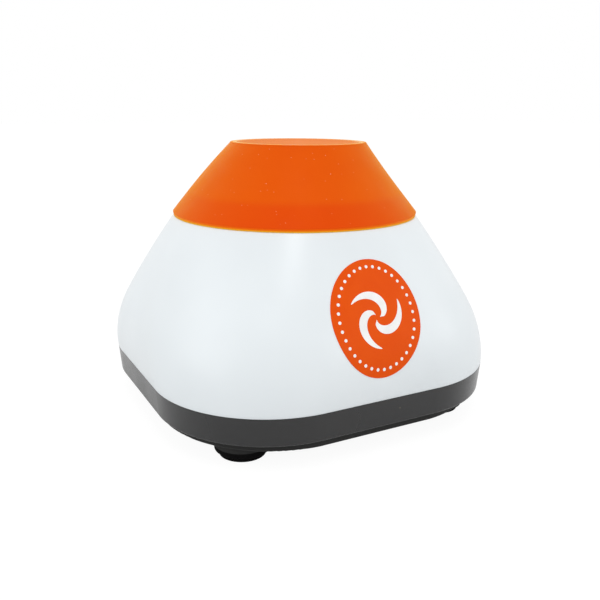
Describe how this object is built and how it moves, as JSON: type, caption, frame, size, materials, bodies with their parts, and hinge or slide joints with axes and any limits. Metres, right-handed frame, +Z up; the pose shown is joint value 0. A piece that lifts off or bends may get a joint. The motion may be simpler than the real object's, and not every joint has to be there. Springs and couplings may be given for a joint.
{
  "type": "vortex mixer",
  "caption": "Small touch-operated vortex mixer: rounded pyramid casing on suction feet, with a dished silicone cup that an eccentric motor drive swings in a small orbit.",
  "frame": {"origin": "on the table under the middle of the casing, in the plane of the feet's lips", "axes": "+Z up along the motor shaft, -Y towards the badge at the front, +Y towards the power inlet"},
  "size_m": [0.101, 0.1011, 0.0772],
  "materials": {
    "white_shell": "satin",
    "grey_tray": "matte",
    "black_rubber": "matte",
    "orange_silicone": "matte",
    "orange_label": "satin",
    "zinc_steel": "satin",
    "spring_steel": "satin",
    "bearing_steel": "polished",
    "motor_can_steel": "satin",
    "ferrite": "matte",
    "core_steel": "satin",
    "copper": "satin",
    "bronze": "satin",
    "hub_aluminium": "satin",
    "carbon": "matte",
    "black_plastic": "satin",
    "white_nylon": "satin",
    "board_green": "satin",
    "capacitor_sleeve": "gloss",
    "red_button": "satin",
    "lead_black": "satin",
    "lead_red": "satin"
  },
  "bodies": {
    "housing": {"upper_shell": "white_shell", "base_tray": "grey_tray", "suction_foot_front_left": "black_rubber", "suction_foot_front_right": "black_rubber", "suction_foot_rear_left": "black_rubber", "suction_foot_rear_right": "black_rubber", "case_screws": "zinc_steel", "front_badge": "orange_label", "guide_screws": "zinc_steel", "return_springs": "spring_steel", "power_board": "board_green", "board_screws": "zinc_steel", "dc_jack_housing": "black_plastic", "dc_jack_pin": "bronze", "filter_capacitor": "capacitor_sleeve", "board_headers": "white_nylon", "motor_leads": "lead_red", "switch_leads": "lead_black", "microswitch_body": "black_plastic", "switch_terminals": "bronze", "switch_screws": "zinc_steel"},
    "carriage": {"motor_plate": "zinc_steel", "guide_bushes": "white_nylon", "motor_can": "motor_can_steel", "motor_magnets": "ferrite", "motor_end_bell": "black_plastic", "motor_bushings": "bronze", "motor_brushes": "carbon", "motor_terminals": "bronze", "motor_screws": "zinc_steel"},
    "rotor": {"motor_shaft": "bearing_steel", "armature_core": "core_steel", "armature_windings": "copper", "commutator": "copper", "eccentric_hub": "hub_aluminium", "hub_set_screw": "zinc_steel", "counterweight": "bearing_steel", "bearing_inner_race": "bearing_steel", "journal_clip": "zinc_steel"},
    "ball_cage": {"bearing_balls": "bearing_steel", "bearing_cage": "white_nylon"},
    "head": {"bearing_outer_race": "bearing_steel", "cup_carrier": "black_plastic", "bearing_snap_ring": "zinc_steel", "silicone_cap": "orange_silicone"},
    "switch_lever": {"switch_lever": "spring_steel"},
    "switch_plunger": {"switch_plunger": "red_button"}
  },
  "joints": [
    {"name": "press", "type": "slide", "parent": "housing", "child": "carriage", "axis": [0, 0, 1], "range_m": [-0.002, 0], "stiffness_N_per_m": 1500, "springref_m": 0.0025, "deforming": ["return_springs", "motor_leads", "silicone_cap"]},
    {"name": "rotor_spin", "type": "hinge", "parent": "carriage", "child": "rotor", "pos_m": [0, 0, 0.05], "axis": [0, 0, 1], "continuous": true},
    {"name": "cup_counter", "type": "hinge", "parent": "rotor", "child": "head", "pos_m": [0, -0.002, 0.0602], "axis": [0, 0, 1], "continuous": true},
    {"name": "cage_spin", "type": "hinge", "parent": "rotor", "child": "ball_cage", "pos_m": [0, -0.002, 0.0602], "axis": [0, 0, 1], "continuous": true},
    {"name": "lever_swing", "type": "hinge", "parent": "housing", "child": "switch_lever", "pos_m": [-0.0292, -0.0155, 0.0437], "axis": [1, 0, 0], "range_deg": [-6.8, 0]},
    {"name": "plunger_slide", "type": "slide", "parent": "housing", "child": "switch_plunger", "axis": [0, 0, 1], "range_m": [-0.00072, 0]}
  ],
  "couplings": [
    {"joint": "cup_counter", "follows": "rotor_spin", "ratio": -1},
    {"joint": "cage_spin", "follows": "rotor_spin", "ratio": -0.6133},
    {"joint": "lever_swing", "follows": "press", "rad_per_m": 59},
    {"joint": "plunger_slide", "follows": "press", "ratio": 0.353}
  ]
}
